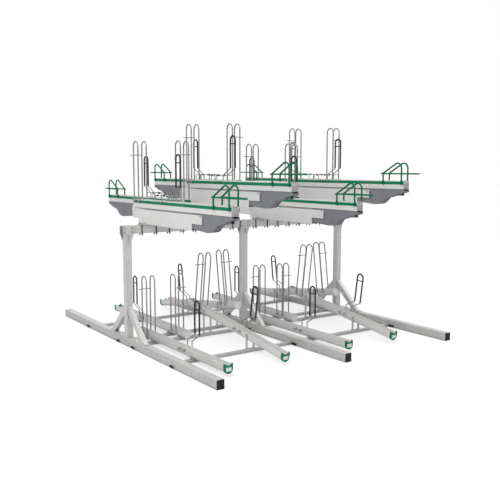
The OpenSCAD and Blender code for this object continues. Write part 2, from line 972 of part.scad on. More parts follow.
// Lock loop: sleeved arch, cross bar, slanting bare legs and feet
module lock_loop(x) {
  half = loop_gap / 2;
  crown = loop_top - loop_sleeve - half;
  for (sy = [-1, 1]) {
    y = sy * half;
    bar([loop_x, y, loop_bare], [loop_x, y, crown], loop_sleeve);
    bar([loop_x, y, loop_bare - loop_r], [loop_x, y, loop_bare], loop_r);
    bar([loop_x, y, loop_bare - loop_r], [x, y + loop_shift, loop_knee], loop_r);
    bar([x, y + loop_shift, -hoop_foot], [x, y + loop_shift, loop_knee], loop_r);
    translate([loop_x, y, loop_bare - loop_r])
      sphere(r = loop_r + knuckle);
    translate([x, y + loop_shift, loop_knee])
      sphere(r = loop_r + knuckle);
  }
  translate([loop_x, 0, crown])
    bend(half, loop_sleeve, 0, 180);
  bar([loop_x, -half, loop_top - eye_h], [loop_x, half, loop_top - eye_h], loop_r);
}

module trough_hoops() {
  color(galvanised)
    for (k = [0:7])
      at_trough(k)
        translate([0, hoop_low_y, 0])
          hoop_pair(hoop_x, hoop_low);
}

module trough_loops() {
  color(black)
    for (k = [0:7])
      at_trough(k)
        translate([0, loop_low_y, 0])
          lock_loop(foot_x);
}

// Cradle between a floor rail and a flat trough
module cradle() {
  difference() {
    slab(cradle_w, -cradle_d / 2, cradle_d / 2, rail_top, rail_top + cradle_h);
    translate([0, 0, trough_z - trough_side])
      hole_y(trough_w / 2 + rest_gap, cradle_d + 2 * over);
  }
}

// Pair of legs from a floor rail up to the sides of a raised trough
module leg_pair(y) {
  inner = trough_w / 2 + rest_gap;
  rise = (trough_front + y) * tan(trough_slope);
  leg_top = trough_z + rise - leg_drop;
  slab(2 * (inner + leg_t + leg_foot), y - cradle_d / 2, y + cradle_d / 2, rail_top, rail_top + leg_foot);
  for (sx = [-1, 1])
    translate([sx * (inner + leg_t / 2), 0, 0]) {
      slab(leg_t, y - leg_d / 2, y + leg_d / 2, rail_top, leg_top);
      translate([sx * leg_t, y, leg_top - leg_d / 2])
        rotate([0, 90, 0])
          cylinder(h = leg_t, r = leg_bolt, center = true);
    }
}

module trough_stands() {
  color(galvanised)
    for (k = [0:7])
      at_place(k, 0)
        if (is_raised(k)) {
          leg_pair(-rail_out);
          leg_pair(-rail_in);
        } else {
          for (y = [-rail_out, -rail_in, rail_in])
            translate([0, y, 0])
              cradle();
        }
}

// Tilting arm: belly housing, spar, pivot sleeve and rollers
module arm_body() {
  outline = concat([[belly[6].x, arm_top], [belly[0].x, arm_top]], belly);
  inside = arm_w - 2 * arm_t;
  sleeve_r = pivot_r + sleeve_wall;
  spar_top = spar_over;
  difference() {
    union() {
      difference() {
        side_plate(arm_w, outline);
        side_plate(inside, shrink(outline, arm_t));
        slab(inside, belly[0].x + arm_t, belly[6].x + over, belly[0].y, arm_top + over);
        slab(inside, belly[6].x - 2 * arm_t, belly[6].x + over, belly[6].y + arm_t, 0);
        slab(inside, belly[0].x - over, belly[0].x + arm_t + over, arm_top - slide_h, arm_top + over);
        for (sx = [-1, 1])
          translate([sx * arm_w / 2, -slot_y, 0])
            slab(
              2 * arm_t + over, -slot_w / 2, slot_w / 2,
              -slot_drop - slot_h, -slot_drop
            );
      }
      slab(spar_w, pivot_y - spar_front, pivot_y + spar_back, spar_top - spar_h, spar_top);
      hole_x(sleeve_r, inside);
      for (y = [pivot_y - tie_out, pivot_y - tie_in])
        slab(inside, y - tie / 2, y + tie / 2, spar_top - tie - spar_wall, spar_top - spar_wall);
    }
    difference() {
      slab(
        spar_w - 2 * spar_wall, pivot_y - spar_front - over, pivot_y + spar_back + over,
        spar_top - spar_h + spar_wall, spar_top - spar_wall
      );
      hole_x(sleeve_r, inside);
    }
    hole_x(pivot_r + pivot_play, 2 * arm_w);
  }
  for (share = roller_shares)
    translate([0, pivot_y - share * spar_front, roller_z - pivot_z]) {
      slab(carrier_w, -carrier_len / 2, carrier_len / 2, spar_top - (roller_z - pivot_z), roller_r);
      hole_x(axle_r, carrier_w + 2 * roller_len + 2 * rest_gap);
      for (sx = [-1, 1])
        translate([sx * (carrier_w / 2 + roller_len / 2 + rest_gap), 0, 0])
          hole_x(roller_r, roller_len);
    }
}

module arm(k) {
  color(dark_grey)
    at_place(k, tier_step)
      translate([0, -pivot_y, pivot_z])
        arm_body();
}

// Sliding tray: open channel with turned lips, end cap and slide rail
module tray_body() {
  inside = tray_w - 2 * tray_t;
  difference() {
    slab(tray_w, -tray_front, tray_back, 0, tray_h);
    slab(inside, -tray_front - over, tray_back + over, tray_t, tray_h - tray_t);
    slab(inside - 2 * lip_w, -tray_front - over, tray_back + over, tray_t, tray_h + over);
  }
  slab(inside, -tray_front, tray_cap_t - tray_front, tray_t, tray_cap_h);
  difference() {
    slab(slide_w, slide_in - tray_front, tray_back - slide_in, -slide_h, 0);
    slab(
      slide_w - 2 * slide_t, slide_in - tray_front - over, tray_back - slide_in + over,
      slide_t - slide_h, 0
    );
    slab(
      slide_slot, slide_in - tray_front - over, tray_back - slide_in + over,
      -slide_h - over, 0
    );
  }
}

module tray(k) {
  color(pale_steel)
    at_place(k, tier_step)
      translate([0, 0, tray_z])
        tray_body();
}

// Handle of bent tube with its pull bar, side strips and end guard
module grip_body() {
  slope = [-cos(grip_slope), sin(grip_slope)];
  square = [sin(grip_slope), cos(grip_slope)];
  knee = [-grip_in, grip_shoulder];
  bend_y = grip_bend - grip_out;
  bend_z = (knee * square - grip_bend - bend_y * square.x) / square.y;
  joint = [bend_y, bend_z] + grip_bend * square + weld * slope;
  nose_y = pull_bend + (grip_x * cos(pull_taper) - pull_nose) / sin(pull_taper);
  nose_side = [
    pull_nose * cos(pull_taper) - weld * sin(pull_taper),
    nose_y + pull_nose * sin(pull_taper) + weld * cos(pull_taper)
  ];
  for (sx = [-1, 1])
    translate([sx * grip_x, 0, 0]) {
      bar([0, -grip_in, grip_foot], [0, -grip_in, grip_shoulder], grip_r);
      translate([0, knee.x, knee.y])
        sphere(r = grip_r + knuckle);
      bar([0, knee.x, knee.y], [0, joint.x, joint.y], grip_r);
      translate([0, bend_y, bend_z])
        bend(grip_bend, grip_r - skin, 90 - grip_slope, 180);
      bar([0, -grip_out, grip_foot], [0, -grip_out, bend_z + weld], grip_r);
      for (y = [-grip_in, -grip_out])
        translate([sx * (clamp_wall - rest_gap) / 2, y, 0])
          slab(
            2 * grip_r + rest_gap + clamp_wall, -grip_clamp / 2, grip_clamp / 2,
            strip_z, strip_z + grip_clamp
          );
      bar([0, -pull_bend, pull_z], [0, -pull_in, pull_z], pull_r);
      translate([0, -pull_bend, pull_z])
        sphere(r = pull_r + knuckle);
    }
  for (sx = [-1, 1])
    bar([sx * grip_x, -pull_bend, pull_z], [sx * nose_side.x, -nose_side.y, pull_z], pull_r);
  translate([0, -nose_y, pull_z])
    rotate([0, 0, 180 + pull_taper])
      rotate_extrude(angle = 180 - 2 * pull_taper)
        translate([pull_nose, 0])
          circle(r = pull_r - skin);
  for (sx = [-1, 1])
    translate([sx * (tray_w + strip_t) / 2, 0, 0]) {
      slab(strip_t, -tray_front, -strip_joint - strip_gap / 2, strip_z, strip_z + strip_h);
      slab(strip_t, strip_gap / 2 - strip_joint, strip_back, strip_z, strip_z + strip_h);
    }
  slab(tray_w, tray_back + rest_gap, tray_back + rest_gap + guard_t, 0, guard_h);
}

module grip(k) {
  color(green)
    at_place(k, tier_step)
      translate([0, 0, tray_z])
        grip_body();
}

// Guide rods on the tray lips with their buffers
module wheel_guides() {
  x = (tray_w - lip_w) / 2;
  for (sx = [-1, 1])
    translate([sx * x, 0, 0]) {
      bar([0, -guide_out, guide_z], [0, -guide_in, guide_z], guide_r);
      for (y = [-guide_out, -guide_in])
        translate([0, y, 0]) {
          bar([0, 0, 0], [0, 0, guide_z], guide_r);
          translate([0, 0, guide_z])
            sphere(r = guide_r + knuckle);
        }
      for (y = [-buffer_out, -buffer_in])
        translate([0, y, guide_z])
          hole_y(buffer_r, buffer_len);
    }
}

module hoops(k) {
  color(galvanised)
    at_place(k, tier_step)
      translate([0, 0, edge_z]) {
        translate([0, hoop_y, 0])
          hoop_pair(tray_hoop_x, hoop_up);
        translate([0, -loop_up_y, 0])
          lock_loop(tray_foot_x);
        wheel_guides();
      }
}

module runner_left() { runner(-1); }
module runner_middle() { runner(0); }
module runner_right() { runner(1); }
module post_left() { post(-1); }
module post_middle() { post(0); }
module post_right() { post(1); }
module beam_left() { beam(-1); }
module beam_right() { beam(1); }
module arm_1() { arm(0); }
module arm_2() { arm(1); }
module arm_3() { arm(2); }
module arm_4() { arm(3); }
module arm_5() { arm(4); }
module arm_6() { arm(5); }
module arm_7() { arm(6); }
module arm_8() { arm(7); }
module tray_1() { tray(0); }
module tray_2() { tray(1); }
module tray_3() { tray(2); }
module tray_4() { tray(3); }
module tray_5() { tray(4); }
module tray_6() { tray(5); }
module tray_7() { tray(6); }
module tray_8() { tray(7); }
module grip_1() { grip(0); }
module grip_2() { grip(1); }
module grip_3() { grip(2); }
module grip_4() { grip(3); }
module grip_5() { grip(4); }
module grip_6() { grip(5); }
module grip_7() { grip(6); }
module grip_8() { grip(7); }
module hoops_1() { hoops(0); }
module hoops_2() { hoops(1); }
module hoops_3() { hoops(2); }
module hoops_4() { hoops(3); }
module hoops_5() { hoops(4); }
module hoops_6() { hoops(5); }
module hoops_7() { hoops(6); }
module hoops_8() { hoops(7); }

runner_left();
runner_middle();
runner_right();
post_left();
post_middle();
post_right();
beam_left();
beam_right();
tube_caps();
foot_plates();
braces();
head_cheeks();
head_packers();
head_bolts();
foot_bolts();
tray_seats();
clamp_rods();
support_boxes();
pivot_pins();
floor_rails();
rail_bolts();
troughs_flat();
troughs_raised();
trough_shoes();
trough_hoops();
trough_loops();
trough_stands();
arm_1();
arm_2();
arm_3();
arm_4();
arm_5();
arm_6();
arm_7();
arm_8();
tray_1();
tray_2();
tray_3();
tray_4();
tray_5();
tray_6();
tray_7();
tray_8();
grip_1();
grip_2();
grip_3();
grip_4();
grip_5();
grip_6();
grip_7();
grip_8();
hoops_1();
hoops_2();
hoops_3();
hoops_4();
hoops_5();
hoops_6();
hoops_7();
hoops_8();
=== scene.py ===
# %% [markdown]
# # Two tier bike rack
# The rack stands free on three floor runners. A steel frame carries eight
# wheel trays that slide out and tilt down, and eight fixed troughs lie below.
# The exact steelwork comes in from the CAD frame. This script gives it its
# finishes and adds the pieces that only the eye needs. Lengths are metres.

import bmesh
import bpy
import math
from functools import cached_property
from mathutils import Euler, Matrix, Vector
from mathutils.geometry import tessellate_polygon


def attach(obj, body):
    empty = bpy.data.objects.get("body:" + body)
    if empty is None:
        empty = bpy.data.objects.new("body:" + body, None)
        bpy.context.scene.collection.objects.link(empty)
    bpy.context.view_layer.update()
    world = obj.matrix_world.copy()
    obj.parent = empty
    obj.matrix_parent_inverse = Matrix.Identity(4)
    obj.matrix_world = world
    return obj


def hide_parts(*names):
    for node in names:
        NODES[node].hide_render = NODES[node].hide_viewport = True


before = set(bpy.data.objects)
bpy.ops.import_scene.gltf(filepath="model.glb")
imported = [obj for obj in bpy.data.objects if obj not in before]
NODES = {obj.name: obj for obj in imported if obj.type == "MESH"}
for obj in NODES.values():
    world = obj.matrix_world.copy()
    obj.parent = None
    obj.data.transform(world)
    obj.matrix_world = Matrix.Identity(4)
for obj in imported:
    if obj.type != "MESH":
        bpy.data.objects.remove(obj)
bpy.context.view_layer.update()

# %% [markdown]
# ## Camera
# The photo looks at the rack from about two metres up, off its left front
# corner, with a lens of normal length. The camera could be placed by eye, but
# runners, beams and posts give three vanishing points, and those give its
# place, turn and focal length, so the render lies over the photo.

# %% Camera
PHOTO = 500  # width of the photo in pixels
FOCAL_PX = 686.0  # focal length in those pixels
SENSOR = 36.0  # width of the camera's sensor in millimetres
EYE = Vector((-4.9009, -7.1503, 2.025))
TURN = Euler([math.radians(angle) for angle in (83.265, -0.038, -34.987)])

lens = bpy.data.cameras.new("eye")
lens.sensor_width = SENSOR
lens.lens = FOCAL_PX / PHOTO * SENSOR
eye = bpy.data.objects.new("eye", lens)
bpy.context.collection.objects.link(eye)
eye.location = EYE
eye.rotation_euler = TURN
bpy.context.scene.camera = eye
print("lens", round(lens.lens, 2), "mm")

# %% [markdown]
# ## Shader maths
# Finishes are written as formulas, which is shorter and easier to read than
# a page of nodes and links. A Tap is one output of a node, and adding or
# multiplying taps adds Math nodes.

# %% Shader maths
class Tap:
    """One value in a material that can be used in a formula."""

    def __init__(self, paint, socket):
        self.paint = paint
        self.socket = socket

    def maths(self, operation, other):
        return self.paint.node("ShaderNodeMath", {"operation": operation}, {0: self, 1: other})[0]

    def __add__(self, other):
        return self.maths("ADD", other)

    def __mul__(self, other):
        return self.maths("MULTIPLY", other)

    __radd__ = __add__
    __rmul__ = __mul__


class Outputs:
    """The outputs of a node, by name or place."""

    def __init__(self, paint, made):
        self.paint = paint
        self.made = made

    def __getitem__(self, key):
        return Tap(self.paint, self.made.outputs[key])


print("shader maths ready:", Tap.__name__, Outputs.__name__)

# %% [markdown]
# ## Shader nodes
# Every other node comes from one call that takes its type, its settings and
# its inputs. Noise, ranges, blends and bumps are used so often that each has
# a short call of its own on top of it. All patterns read object coordinates,
# because those stay with a piece when it moves.

# %% Shader nodes
class Paint:
    """The nodes of a material or a sky, ready for formulas."""

    def __init__(self, owner, shader="Principled BSDF"):
        owner.use_nodes = True
        self.owner = owner
        self.tree = owner.node_tree
        self.surface = self.tree.nodes[shader]

    @cached_property
    def coords(self):
        return self.node("ShaderNodeTexCoord", {}, {})["Object"]

    def node(self, kind, settings, inputs):
        made = self.tree.nodes.new(kind)
        for key, value in settings.items():
            setattr(made, key, value)
        for key, value in inputs.items():
            self.feed(made.inputs[key], value)
        return Outputs(self, made)

    def feed(self, socket, value):
        if isinstance(value, Tap):
            self.tree.links.new(value.socket, socket)
        elif isinstance(value, tuple) and len(value) == 3 and socket.type == "RGBA":
            socket.default_value = (*value, 1.0)
        else:
            socket.default_value = value

    def set(self, **inputs):
        for key, value in inputs.items():
            self.feed(self.surface.inputs[key.replace("_", " ")], value)

    def noise(self, scale, detail=3.0, rough=0.5):
        inputs = {"Vector": self.coords, "Scale": scale, "Detail": detail, "Roughness": rough}
        return self.node("ShaderNodeTexNoise", {}, inputs)["Fac"]

    def spread(self, value, low, high, to_low, to_high):
        inputs = {
            "Value": value, "From Min": low, "From Max": high, "To Min": to_low, "To Max": to_high,
        }
        return self.node("ShaderNodeMapRange", {"clamp": True}, inputs)["Result"]

    def blend(self, share, first, second):
        inputs = {"Factor": share, 6: first, 7: second}
        return self.node("ShaderNodeMix", {"data_type": "RGBA"}, inputs)[2]

    def bump(self, height, strength, depth):
        inputs = {"Height": height, "Strength": strength, "Distance": depth}
        return self.node("ShaderNodeBump", {}, inputs)["Normal"]


print("shader nodes ready:", Paint.__name__)

# %% [markdown]
# ## Galvanised steel
# The frame is dipped in zinc. Zinc freezes in flat crystals, a centimetre or
# so across, each a little lighter or darker, with cloudy patches over them.
# One noise alone would look like plaster, so a cell pattern makes the crystals
# and a soft noise the clouds. Painted shade darkens the corners and seams where
# an ambient occlusion node finds other surfaces close by, which is what keeps
# thin joints readable on pale steel.

# %% Galvanised steel
CRYSTALS = 0.35  # share of the crystals in the tone, the rest is cloud
CREVICE = 0.05  # how far off a second surface still counts as a corner
SHADE_FULL, SHADE_NONE = 0.25, 0.85  # occlusion values at which the painted corner shade is full and where it is gone
CORNER_SHADE = 0.42  # share of its colour that steel keeps under the deepest painted corner shade
RIPPLE_SCALE, RIPPLE_DEPTH = 140.0, 0.001


def zinc(name, dark, light, crystal, shine, rough, ripple):
    paint = Paint(bpy.data.materials.new(name))
    inputs = {"Vector": paint.coords, "Scale": crystal}
    cells = paint.node("ShaderNodeTexVoronoi", {}, inputs)["Color"]
    grain = paint.node("ShaderNodeSeparateColor", {}, {"Color": cells})["Red"]
    cloud = paint.noise(5.0, 4.0, 0.6)
    tone = grain * CRYSTALS + cloud * (1 - CRYSTALS)
    share = paint.spread(tone, 0.25, 0.75, 0.0, 1.0)
    # Painted shade: where the ambient occlusion node finds other surfaces close by, the base colour
    # darkens towards a darker copy of the dark tone.
    openness = paint.node("ShaderNodeAmbientOcclusion", {"samples": 8}, {"Distance": CREVICE})["AO"]
    unshaded = paint.spread(openness, SHADE_FULL, SHADE_NONE, 0.0, 1.0)
    shade_colour = tuple(c * CORNER_SHADE for c in dark)
    patchy = grain * 0.5 + cloud * 0.5
    paint.set(
        Base_Color=paint.blend(unshaded, shade_colour, paint.blend(share, dark, light)),
        Metallic=shine,
        Roughness=paint.spread(patchy, 0.2, 0.8, rough - 0.08, rough + 0.1),
        Normal=paint.bump(paint.noise(RIPPLE_SCALE, 2.0), ripple, RIPPLE_DEPTH),
    )
    return paint.owner


# Painted light: posts, beams, head cheeks, braces and foot plates take a lighter copy of the same
# dipped zinc, so their faces look more lit; the other steel keeps the plain tones.
PLAIN_TONES = ((0.50, 0.495, 0.485), (0.64, 0.635, 0.625))
LIT_TONES = ((0.58, 0.575, 0.565), (0.74, 0.735, 0.725))
dipped = zinc("dipped_steel", *PLAIN_TONES, 75.0, 0.50, 0.42, 0.03)
lit_zinc = zinc("zinc_painted_lit", *LIT_TONES, 75.0, 0.45, 0.40, 0.03)
sheet = zinc("zinc_sheet", (0.74, 0.74, 0.735), (0.81, 0.81, 0.80), 110.0, 0.35, 0.38, 0.0)
rolled = zinc("zinc_rolled", (0.66, 0.66, 0.65), (0.74, 0.74, 0.73), 60.0, 0.25, 0.42, 0.0)
# Painted shade: the rods take a darker copy of the zinc, standing in for the shaded edges of thin
# lit rods.
rod = zinc("rod_steel", (0.26, 0.26, 0.256), (0.37, 0.37, 0.363), 90.0, 0.6, 0.34, 0.05)
dark_nut = zinc("dark_nut", (0.045, 0.045, 0.045), (0.10, 0.10, 0.10), 300.0, 0.4, 0.4, 0.12)
print("zinc finishes:", [finish.name for finish in (dipped, lit_zinc, sheet, rolled, rod, dark_nut)])

# %% [markdown]
# ## Painted and moulded finishes
# The handles and strips are powder coated green, with the fine orange peel of
# baked powder. The arms are a matt mid grey, the tray ends a paler grey, and
# the caps and sleeves black. All are one recipe with other numbers: a faint
# drift of tone, a drift of gloss, and a fine bump for the peel.

# %% Paint and plastic
TONE_SCALE, GLOSS_SCALE = 7.0, 30.0
PEEL_DEPTH = 0.0006


def coat(name, colour, shade, rough, peel, scale, gloss=0.3):
    paint = Paint(bpy.data.materials.new(name))
    tone = paint.spread(paint.noise(TONE_SCALE), 0.3, 0.7, 0.0, 1.0)
    paint.set(
        Base_Color=paint.blend(tone, tuple(c * shade for c in colour), colour),
        Roughness=paint.spread(paint.noise(GLOSS_SCALE), 0.3, 0.7, rough - 0.05, rough + 0.05),
        Specular_IOR_Level=gloss,
        Normal=paint.bump(paint.noise(scale, 2.0), peel, PEEL_DEPTH),
    )
    return paint.owner


green_coat = coat("green_coat", (0.006, 0.190, 0.092), 0.88, 0.50, 0.10, 320.0, 0.12)
# Painted shade: the grip tubes take a darker copy of the green coat, standing in for the shaded
# sides of thin lit tubes.
green_tube = coat("green_tube", (0.003, 0.140, 0.066), 0.88, 0.50, 0.10, 320.0, 0.10)
green_shoe = coat("green_moulding", (0.007, 0.200, 0.098), 0.85, 0.50, 0.06, 500.0, 0.15)
grey_coat = coat("grey_coat", (0.200, 0.205, 0.220), 0.90, 0.50, 0.10, 300.0)
end_coat = coat("end_coat", (0.36, 0.37, 0.38), 0.90, 0.45, 0.08, 300.0)
black_cap = coat("black_moulding", (0.016, 0.016, 0.017), 0.80, 0.45, 0.08, 420.0)
black_sleeve = coat("black_sleeve", (0.022, 0.023, 0.024), 0.85, 0.55, 0.15, 260.0)
print("coats:", [finish.name for finish in (green_coat, green_tube, green_shoe, grey_coat)])
print("and:", [finish.name for finish in (end_coat, black_cap, black_sleeve)])

# %% [markdown]
# ## Finishes of the CAD pieces
# Each real part goes through one works process, so each CAD piece takes one
# finish. Pieces that repeat have a number at the end of their name, so a
# finish is looked up by the name without it. What is not listed is dipped.

# %% Finishes of the CAD pieces
WORKS = (
    (black_cap, ("tube_caps", "rail_bolts")),
    (green_shoe, ("trough_shoes",)),
    (green_tube, ("grip",)),
    (grey_coat, ("arm",)),
    (sheet, ("support_boxes", "tray")),
    (rolled, ("troughs_flat", "troughs_raised")),
    (rod, ("trough_hoops", "trough_loops", "hoops")),
    # Painted light: the uprights wear the lighter copy of the same zinc.
    (lit_zinc, ("post_left", "post_middle", "post_right", "beam_left", "beam_right")),
    (lit_zinc, ("head_cheeks", "braces", "foot_plates")),
)
FINISH = {family: material for material, families in WORKS for family in families}
for name in NODES:
    slots = NODES[name].data.materials
    slots.clear()
    slots.append(FINISH.get(name.rstrip("12345678").rstrip("_"), dipped))
print(len(NODES), "CAD pieces dressed")

# %% [markdown]
# ## Places
# Every upper place uses one set of parts and every lower place another. The
# sets are turned about for the places that are loaded from the far side, and
# lifted or sloped for the raised ones. One matrix per place says all of it,
# with the numbers of the CAD frame, so each piece is drawn only once.

# %% Places
BAY = 1.600  # from post to post
PITCH = 0.355  # from place to place in a bay
STEP = 0.220  # rise of the high places
SEAT_TOP = 1.395  # upper face of the seat plates
BEAM_UNDER = 1.292  # underside of the beams
TRAY_UNDER = 1.580  # underside of the low trays
TRAY_EDGE = 1.675  # lips of the low trays
TROUGH_START = (0.0, -1.690, 0.130)
TROUGH_SLOPE = math.radians(8.0)
PLACES = range(8)
POSTS = (-BAY, 0.0, BAY)
SIDES = (-1, 1)
CORNERS = ((-1, -1), (1, -1), (1, 1), (-1, 1))


def place(k, lift=0.0):
    x = (k // 4 - 0.5) * BAY + (k % 4 - 1.5) * PITCH
    turn = Matrix.Rotation(math.pi if k % 2 else 0.0, 4, "Z")
    return Matrix.Translation((x, 0.0, lift if k % 4 > 1 else 0.0)) @ turn


def tray_place(k):
    return place(k, STEP)


def trough_place(k):
    slope = Matrix.Rotation(TROUGH_SLOPE if k % 4 > 1 else 0.0, 4, "X")
    return place(k) @ Matrix.Translation(TROUGH_START) @ slope


def both_ways(x=0.0):
    """The middle of a post or beam, seen from one end and from the other."""
    turns = [Matrix.Rotation(angle, 4, "Z") for angle in (0.0, math.pi)]
    return [Matrix.Translation((x, 0.0, 0.0)) @ turn for turn in turns]


print("place centres:", [round(place(k).translation.x, 4) for k in PLACES])

# %% [markdown]
# ## Bent tube
# Most added pieces are tube or rod. A curve with a bevel would do for one
# width, but sleeves and weld beads swell along their way. So one helper
# sweeps a ring of points along a path, with its own radius at each point, and
# carries the ring's turn from point to point so it never twists.

# %% Sweep helper
def sweep(work, path, radius, sides=14, matrix=Matrix()):
    points = [Vector(p) for p in path]
    last = len(points) - 1
    turn = None
    rings = []
    for i, point in enumerate(points):
        ahead = points[min(i + 1, last)] - points[max(i - 1, 0)]
        if not ahead.length:
            ahead = points[min(i + 2, last)] - points[max(i - 2, 0)]
        ahead.normalize()
        turn = ahead.orthogonal() if turn is None else turn - ahead * turn.dot(ahead)
        turn.normalize()
        up = ahead.cross(turn)
        size = radius[i] if isinstance(radius, list) else radius
        ring = []
        for j in range(sides):
            a = 2 * math.pi * j / sides
            spot = point + (turn * math.cos(a) + up * math.sin(a)) * size
            ring.append(work.verts.new(matrix @ spot))
        rings.append(ring)
    for low, high in zip(rings, rings[1:]):
        for j in range(sides):
            k = (j + 1) % sides
            work.faces.new((low[j], low[k], high[k], high[j]))
    work.faces.new(list(reversed(rings[0])))
    work.faces.new(rings[-1])


def arch(radius, base, steps, x):
    """Half a circle over the point (x, 0, base), from its +Y side to its -Y side."""
    angles = [math.pi * i / steps for i in range(steps + 1)]
    return [(x, radius * math.cos(a), base + radius * math.sin(a)) for a in angles]


print("an arch of 16 steps has", len(arch(1.0, 0.0, 16, 0.0)), "points")

# %% [markdown]
# ## Folded plates
# End caps, foot clamps and strips are pressed or moulded, so their edges are
# never sharp. A bevel modifier would have to be applied later. This helper
# makes a block and rounds all its edges at once.

# %% Plate helper
def plate(work, size, centre, matrix=Matrix(), soft=0.001):
    box = matrix @ Matrix.Translation(centre) @ Matrix.Diagonal((*size, 1.0))
    corners = bmesh.ops.create_cube(work, size=1.0, matrix=box)["verts"]
    edges = list(dict.fromkeys(edge for vert in corners for edge in vert.link_edges))
    bmesh.ops.bevel(work, geom=edges, offset=soft, segments=3, profile=0.5, affect="EDGES")


print("plate helper ready:", plate.__name__)

# %% [markdown]
# ## From mesh to piece
# A finished mesh becomes a piece that rides on a body of the frame. What sits
# on a tray must slide and tilt with it, so there is one piece for each tray.
# What sits on the troughs never moves, so one piece serves all eight.

# %% Piece helpers
SHARP = math.radians(35)


def piece(name, work, material, body, slot, stands_for=()):
    bmesh.ops.recalc_face_normals(work, faces=work.faces)
    mesh = bpy.data.meshes.new(name)
    work.to_mesh(mesh)
    work.free()
    for face in mesh.polygons:
        face.use_smooth = True
    mesh.set_sharp_from_angle(angle=SHARP)
    mesh.materials.append(material)
    made = bpy.data.objects.new(name, mesh)
    bpy.context.collection.objects.link(made)
    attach(made, body)
    if stands_for:
        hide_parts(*stands_for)
    return made


def each_tray(name, build, material, slot, body="tray"):
    for k in PLACES:
        work = bmesh.new()
        build(work, tray_place(k))
        made = piece(f"{name}_{k + 1}", work, material, f"{body}_{k + 1}", slot)
    print(name, "for each place,", len(made.data.polygons), "faces each")


def all_troughs(name, build, material, slot):
    work = bmesh.new()
    for k in PLACES:
        build(work, trough_place(k))
    made = piece(name, work, material, "rack", slot)
    print(name, len(made.data.polygons), "faces")


print("helpers ready:", piece.__name__, each_tray.__name__, all_troughs.__name__)

# %% [markdown]
# ## Sleeves of the lock loops
# The arch of each lock loop wears a black sleeve that keeps the bicycle's
# paint safe, with a thicker collar where it ends. It could be a copy of the
# rod made thicker, but a sweep gives the collar as well: a tube over the
# rod's own arch, a little larger than the solid below it, and a cross bar.

# %% Sleeves
LOOP_X, LOOP_HALF = 0.075, 0.0485  # plane and half width of the loop
LOOP_BARE, LOOP_CROWN = 0.146, 0.4545  # heights where sleeve and arch begin
SLEEVE_STEPS = (-0.003, 0.0, 0.012, 0.013, 0.1, 0.2)  # points over the bare rod
SLEEVE_R, COLLAR_R, MOUTH_R = 0.0096, 0.0104, 0.0070
BAR_Z, BAR_R, BAR_INSET = 0.416, 0.0066, 0.004
TRAY_LOOP_Y, TROUGH_LOOP_Y = -0.588, 0.725


def sleeve(work, matrix):
    rise = [(LOOP_X, LOOP_HALF, LOOP_BARE + step) for step in SLEEVE_STEPS]
    fall = [(x, -y, z) for x, y, z in reversed(rise)]
    path = rise + arch(LOOP_HALF, LOOP_CROWN, 16, LOOP_X) + fall
    end = [MOUTH_R, COLLAR_R, COLLAR_R]
    middle = [SLEEVE_R] * (len(path) - 2 * len(end))
    sweep(work, path, end + middle + end[::-1], 16, matrix)
    half = LOOP_HALF - BAR_INSET
    sweep(work, [(LOOP_X, side * half, BAR_Z) for side in SIDES], BAR_R, 12, matrix)


def tray_sleeve(work, lie):
    sleeve(work, lie @ Matrix.Translation((0.0, TRAY_LOOP_Y, TRAY_EDGE)))


def trough_sleeve(work, lie):
    sleeve(work, lie @ Matrix.Translation((0.0, TROUGH_LOOP_Y, 0.0)))


each_tray("loop_sleeve", tray_sleeve, black_sleeve, "black_plastic")
all_troughs("loop_sleeves_lower", trough_sleeve, black_sleeve, "black_plastic")

# %% [markdown]
# ## Buffers of the wheel guides
# Two ribbed rubber buffers sit on each guide rod beside the wheel. Each is a
# short barrel with rounded shoulders and a waist, slipped over the solid one.
# A lathe would make the real mould, and the sweep does the same here.

# %% Buffers
GUIDE_X, GUIDE_RISE = 0.038, 0.058
BUFFER_YS = (-0.470, -0.320)
HALF_BARREL = [  # way from the middle, radius
    (0.0135, 0.0050), (0.0135, 0.0098), (0.0120, 0.0114), (0.0040, 0.0116), (0.0030, 0.0108),
]
BARREL = [(-s, r) for s, r in HALF_BARREL] + HALF_BARREL[::-1]


def buffers(work, lie):
    for side in SIDES:
        for y in BUFFER_YS:
            path = [(side * GUIDE_X, y + s, TRAY_EDGE + GUIDE_RISE) for s, _ in BARREL]
            sweep(work, path, [r for _, r in BARREL], 18, lie)


each_tray("buffers", buffers, black_sleeve, "black_plastic")

# %% [markdown]
# ## Tray ends
# The loading end of an upper tray is closed by a pale grey moulded cap. It
# stops short of the lips, so that the wheel rolls in over it. Two rounded
# plates, one on the other, give it the raised middle that stiffens it.

# %% Tray end caps
TRAY_START = -1.812


def tray_end(work, lie):
    end = lie @ Matrix.Translation((0.0, TRAY_START, TRAY_UNDER))
    plate(work, (0.0834, 0.005, 0.064), (0.0, -0.0027, 0.0322), end, 0.002)
    plate(work, (0.062, 0.003, 0.040), (0.0, -0.0058, 0.030), end, 0.0012)


each_tray("tray_end", tray_end, end_coat, "dark_paint")

# %% [markdown]
# ## Flat sheet with holes
# The side covers of the arms are cut from flat sheet, with holes in them. A
# boolean cut would leave loose edges. A sheet is easy to make from its
# outlines: the two faces are filled round the holes, and a wall is drawn
# along every edge.

# %% Sheet helper
def sheet_metal(work, loops, x0, x1, matrix):
    flat = [spot for loop in loops for spot in loop]
    sides = [[work.verts.new(matrix @ Vector((x, y, z))) for y, z in flat] for x in (x0, x1)]
    for corners in tessellate_polygon([[Vector((y, z, 0.0)) for y, z in loop] for loop in loops]):
        for side in sides:
            work.faces.new([side[i] for i in corners])
    start = 0
    for loop in loops:
        for i in range(len(loop)):
            a, b = start + i, start + (i + 1) % len(loop)
            work.faces.new((sides[0][a], sides[0][b], sides[1][b], sides[1][a]))
        start += len(loop)


print("sheet helper ready:", sheet_metal.__name__)

# %% [markdown]
# ## Arm side covers
# On one side the arm wears a flat grey cover outside the support box, with
# the belly's own outline. It has a round hole for the head of the pivot pin
# and a narrow slot beside it. A bevelled block could not follow that outline,
# so it is a sheet.

